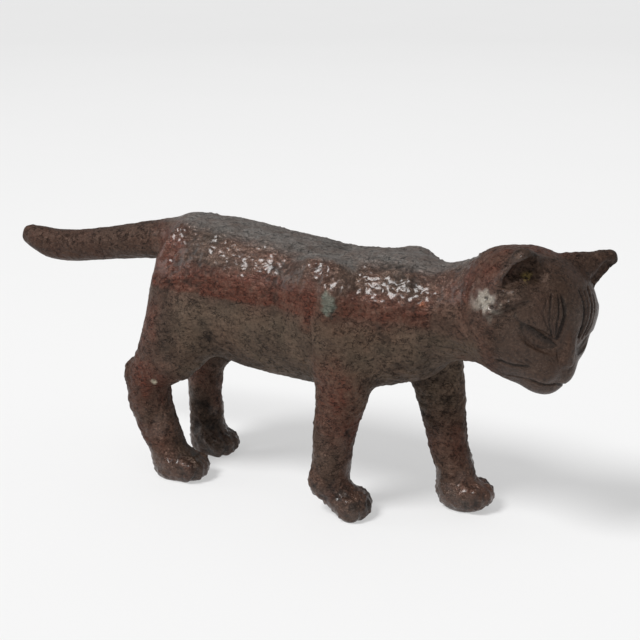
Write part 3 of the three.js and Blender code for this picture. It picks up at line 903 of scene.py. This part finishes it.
class PatinaSheet(NodeSheet):
    """The patina's colour, gloss and bumps, with the markings that they share."""

    def __init__(self, material, look):
        super().__init__(material)
        self.look = look
        self.place = self.add("TexCoord").outputs["Object"]
        self.steep = self.turned(self.place, angle=1.0, stretch=1.7)
        self.shallow = self.turned(self.place, angle=-0.42, stretch=3.0)
        self.clouds = self.noise(self.place, CLOUD_SIZE, 5.0, 0.65)
        self.blots = self.noise(self.place, BLOT_SIZE, 5.0, 0.7)
        self.specks = self.noise(self.place, SPECK_SIZE, 6.0, 0.75)
        self.coarse, self.sheen = self.attribute("coarse"), self.attribute("sheen")
        self.hollow = self.attribute("hollow")
        self.dark_creases = self.patchy_creases()

    def patchy_creases(self):
        """Creases in patches, more of them where the clay is coarse and fewer where it shines."""
        steep = self.creases(self.steep, CREASE_SIZES[0], 0.035)
        creases = self.math("MAXIMUM", steep, self.creases(self.shallow, CREASE_SIZES[1], 0.03))
        for share in (
            self.span(self.blots, 0.47, 0.62),
            self.span(self.coarse, 0.0, 0.3, 0.1, 1.0),
            self.span(self.sheen, 0.0, 1.0, 1.0, 0.25),
        ):
            creases = self.math("MULTIPLY", creases, share)
        return creases

    def colour(self):
        """Tints over a clouded ground, then dark wax in hollows, specks and creases, and flecks."""
        look = self.look
        colour = self.mix(self.span(self.clouds, 0.35, 0.65), look.base_colour, look.umber_colour)
        for name, tint, least, most in (
            ("dull", look.olive_colour, 0.55, 1.0),
            ("warm", look.warm_colour, 0.35, 1.0),
            ("deep", look.base_colour, 0.7, 1.0),
            # The pale tint is painted sheen and highlight; the cream tint is the wax drip and also a painted
            # highlight
            ("painted_sheen", look.painted_sheen_colour, 0.35, 0.9),
            ("green", look.green_colour, 0.6, 1.0),
            ("rust", look.rust_colour, 0.5, 1.0),
            ("wax_and_painted_glare", look.wax_and_painted_glare_colour, 1.0, 1.0),
            ("gold", look.gold_colour, 0.6, 1.0),
        ):
            broken = self.span(self.blots, 0.32, 0.62, least, most)
            colour = self.mix(self.math("MULTIPLY", self.attribute(name), broken), colour, tint)
        darker = self.span(self.clouds, 0.35, 0.6, 0.45, 0.85)
        for share in (
            self.math("MULTIPLY", self.hollow, 0.8),
            self.math("MULTIPLY", self.span(self.specks, 0.50, 0.64), darker),
            self.math("MULTIPLY", self.dark_creases, 0.7),
        ):
            colour = self.mix(share, colour, look.hollow_colour)
        flecks = self.math("MULTIPLY", self.span(self.specks, 0.46, 0.34), 0.22)
        return self.mix(flecks, colour, look.fleck_colour)

    def gloss(self):
        """Roughness: uneven by blots, smoother where the wax shines, duller in the hollows."""
        middle = self.look.roughness
        gloss = self.span(self.blots, 0.3, 0.7, middle - 0.07, middle + 0.10)
        gloss = self.math("SUBTRACT", gloss, self.math("MULTIPLY", self.sheen, self.look.polish))
        return self.math("ADD", gloss, self.math("MULTIPLY", self.hollow, 0.2))

    def bumps(self):
        """Normals of chips and strokes where the clay is coarse, of creases and of a fine grain."""
        chips = self.add("TexVoronoi", Vector=self.steep, Scale=1 / CHIP_SIZE).outputs["Distance"]
        strokes = [self.noise(v, n, 3.0, 0.6) for v, n in zip((self.place, self.shallow), STROKE_SIZES)]
        lumps = self.math("ADD", self.math("MULTIPLY", chips, -1.1), self.math("ADD", *strokes))
        lumps = self.math("SUBTRACT", self.math("MULTIPLY", lumps, self.coarse), self.dark_creases)
        grain = self.noise(self.place, GRAIN_SIZE, 4.0, 0.65)
        normal = self.add("Bump", Height=lumps, Strength=1.0, Distance=LUMP_HEIGHT).outputs[0]
        fine = self.add("Bump", Height=grain, Strength=0.8, Distance=GRAIN_HEIGHT, Normal=normal)
        return fine.outputs[0]


def bronze_material(look):
    """Waxed dark patina: tints from the cast's attributes, broken up by clouds and specks."""
    material = bpy.data.materials.new("waxed_bronze_patina")
    sheet = PatinaSheet(material, look)
    shader = sheet.add(
        "BsdfPrincipled",
        Base_Color=sheet.colour(),
        Metallic=look.metal,
        Roughness=sheet.gloss(),
        Normal=sheet.bumps(),
        Coat_Weight=sheet.math("MULTIPLY", sheet.sheen, look.wax),
        Coat_Roughness=0.2,
        Specular_IOR_Level=0.2,
    )
    sheet.add("OutputMaterial", Surface=shader.outputs["BSDF"])
    return material


def floor_material(colour, glow):
    """Matt studio paper lit from below as well, with a faint unevenness of tone, and painted shade that
    darkens it far off.
    """
    material = bpy.data.materials.new("studio_paper")
    sheet = NodeSheet(material)
    place = sheet.add("TexCoord").outputs["Object"]
    paper = sheet.mix(sheet.noise(place, 0.35, 3.0, 0.5), [0.985 * part for part in colour], colour)
    distance = sheet.add("VectorMath", {"operation": "LENGTH"}, Vector=place).outputs["Value"]
    far = sheet.span(distance, DARKENS_FROM, DARKENS_TO, 0.0, DARKENS_BY)
    paper = sheet.mix(far, paper, (0.0, 0.0, 0.0))
    shader = sheet.add(
        "BsdfPrincipled",
        Base_Color=paper,
        Roughness=0.9,
        Specular_IOR_Level=0.1,
        Emission_Color=paper,
        Emission_Strength=glow,
    )
    sheet.add("OutputMaterial", Surface=shader.outputs["BSDF"])
    return material


def number_property(name, description, value, highest=1.0):
    return bpy.props.FloatProperty(name=name, description=description, default=value, min=0, max=highest)


def angle_property(name, description, degrees):
    return bpy.props.FloatProperty(
        name=name, description=description, subtype="ANGLE", min=0, max=math.pi, default=math.radians(degrees)
    )


def colour_property(name, description, colour):
    return bpy.props.FloatVectorProperty(
        name=name, description=description, subtype="COLOR", size=3, min=0, max=1, default=colour
    )


class BronzeCastSettings(bpy.types.PropertyGroup):
    """Finish of the cast."""

    relief_depth: number_property("Relief depth", "Height of the pressed clay, 1 as modelled", 1.0, 2.0)
    roughness: number_property("Roughness", "Roughness between the glossy and dull places", 0.52)
    polish: number_property("Polish", "How much smoother it is where it shines", 0.30, 0.5)
    metal: number_property("Metal", "How much bare metal shows through", 0.4)
    wax: number_property("Wax", "Strength of the coat where it shines", 0.5)
    base_colour: colour_property("Base", "Dark ground", (0.046, 0.029, 0.020))
    umber_colour: colour_property("Umber", "Clouds in the ground", (0.112, 0.068, 0.049))
    warm_colour: colour_property("Red-brown", "Band along the body", (0.100, 0.028, 0.016))
    olive_colour: colour_property("Olive", "Sides below the band", (0.108, 0.083, 0.057))
    # Pale: painted sheen of light on the top of the back, and a painted highlight on the neck's patch
    painted_sheen_colour: colour_property("Pale", "Bloom on the back", (0.222, 0.215, 0.203))
    green_colour: colour_property("Green", "Patch behind the shoulder", (0.135, 0.150, 0.122))
    rust_colour: colour_property("Rust", "Spot on the shoulder", (0.270, 0.090, 0.042))
    # Cream: the real wax drip on the hock, and a painted highlight on the neck's patch
    wax_and_painted_glare_colour: colour_property("Cream", "Wax on the hock and neck", (0.520, 0.460, 0.350))
    gold_colour: colour_property("Gold", "Metal in the right ear", (0.480, 0.360, 0.110))
    hollow_colour: colour_property("Hollows", "Dark wax left in creases", (0.014, 0.010, 0.008))
    fleck_colour: colour_property("Flecks", "Rubbed metal on raised dabs", (0.200, 0.150, 0.115))


class StudioSettings(bpy.types.PropertyGroup):
    """Floor, lights and camera."""

    floor_colour: colour_property("Floor", "Colour of the floor", (0.42, 0.42, 0.42))
    floor_glow: number_property("Floor glow", "Light that comes up through the floor", 1.08, 10)
    camera_distance: bpy.props.FloatProperty(
        name="Camera distance",
        description="From the camera to its aim",
        default=VIEW_DISTANCE * UNIT,
        min=0.5,
        max=5.0,
        unit="LENGTH",
    )
    view_angle: angle_property("View angle", "Angle across the picture", 24)
    key_strength: number_property("Key light", "Strength of the broad light overhead", 2.9, 10)
    key_spread: angle_property("Key spread", "Angle that the broad light fills", 20)
    strip_strength: number_property("Strip light", "Strength of the low left light", 0.4, 10)
    strip_spread: angle_property("Strip spread", "Angle that the low light fills", 28)
    room_light: number_property("Room light", "Strength of the even light", 0.40, 10)


class OBJECT_OT_bronze_cast(bpy.types.Operator):
    """Makes the cast cat with its modelled surface and patina"""

    bl_idname = "bronze_cat.cast"
    bl_label = "Bronze Cast"

    def execute(self, context):
        look = context.scene.bronze_cast
        points, triangles, masks = build_cast(look.relief_depth)
        cast = mesh_object("walking_cat", inside_cast(to_frame(points)), triangles)
        for name, mask in masks.items():
            float_attribute(cast.data, name, mask)
        cast.data.shade_smooth()
        cast.data.materials.append(bronze_material(look))
        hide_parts(CAST_NODE)
        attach(cast, "root")
        return {"FINISHED"}


class OBJECT_OT_studio(bpy.types.Operator):
    """Makes the floor, the lights and the camera of the photograph"""

    bl_idname = "bronze_cat.studio"
    bl_label = "Studio"

    def execute(self, context):
        scene, studio = context.scene, context.scene.bronze_studio
        sides = FLOOR_REACH * np.array(((-1, -1, 0), (1, -1, 0), (1, 1, 0), (-1, 1, 0)))
        floor = mesh_object("studio_floor", sides, np.array(((0, 1, 2, 3),)))
        floor.data.materials.append(floor_material(studio.floor_colour, studio.floor_glow))
        self.add_light(scene, "overhead_key", KEY_DIRECTION, studio.key_strength, studio.key_spread)
        self.add_light(scene, "front_strip", STRIP_DIRECTION, studio.strip_strength, studio.strip_spread)
        self.add_room(scene, studio.room_light)
        self.add_camera(scene, studio)
        return {"FINISHED"}

    def add_room(self, scene, strength):
        """Even white light all round, and plain tones."""
        world = bpy.data.worlds.new("studio_room")
        world.use_nodes = True
        room = world.node_tree.nodes["Background"]
        room.inputs["Color"].default_value = (1, 1, 1, 1)
        room.inputs["Strength"].default_value = strength
        scene.world = world
        scene.view_settings.view_transform = "Standard"

    def add_light(self, scene, name, toward, strength, spread):
        """An even light from one direction."""
        light = bpy.data.lights.new(name, "SUN")
        light.energy = strength
        light.angle = spread
        lamp = bpy.data.objects.new(name, light)
        lamp.rotation_euler = Vector(toward).to_track_quat("Z", "Y").to_euler()
        scene.collection.objects.link(lamp)

    def add_camera(self, scene, studio):
        """The camera, turned from the cat's right and raised."""
        target = Vector(to_frame(VIEW_TARGET))
        turn, rise = math.radians(VIEW_ROUND), math.radians(VIEW_ABOVE)
        back = Vector((math.sin(turn) * math.cos(rise), -math.cos(turn) * math.cos(rise), math.sin(rise)))
        camera = bpy.data.objects.new("studio_camera", bpy.data.cameras.new("studio_camera"))
        camera.data.angle = studio.view_angle
        camera.data.clip_end = 100
        camera.location = target + studio.camera_distance * back
        camera.rotation_euler = back.to_track_quat("Z", "Y").to_euler()
        scene.collection.objects.link(camera)
        scene.camera = camera


class VIEW3D_PT_bronze_cat(bpy.types.Panel):
    """Settings and buttons of the bronze cat"""

    bl_label = "Bronze Cat"
    bl_space_type = "VIEW_3D"
    bl_region_type = "UI"
    bl_category = "Bronze Cat"

    def draw(self, context):
        for settings, operator in (
            (context.scene.bronze_cast, OBJECT_OT_bronze_cast),
            (context.scene.bronze_studio, OBJECT_OT_studio),
        ):
            box = self.layout.box()
            for name in settings.__annotations__:
                box.prop(settings, name)
            box.operator(operator.bl_idname)


CLASSES = (
    BronzeCastSettings, StudioSettings, OBJECT_OT_bronze_cast, OBJECT_OT_studio, VIEW3D_PT_bronze_cat
)


def register():
    for item in CLASSES:
        bpy.utils.register_class(item)
    bpy.types.Scene.bronze_cast = bpy.props.PointerProperty(type=BronzeCastSettings)
    bpy.types.Scene.bronze_studio = bpy.props.PointerProperty(type=StudioSettings)


def unregister():
    del bpy.types.Scene.bronze_studio
    del bpy.types.Scene.bronze_cast
    for item in reversed(CLASSES):
        bpy.utils.unregister_class(item)


def main():
    register()
    bpy.ops.bronze_cat.studio()
    bpy.ops.bronze_cat.cast()


if __name__ == "__main__":
    main()
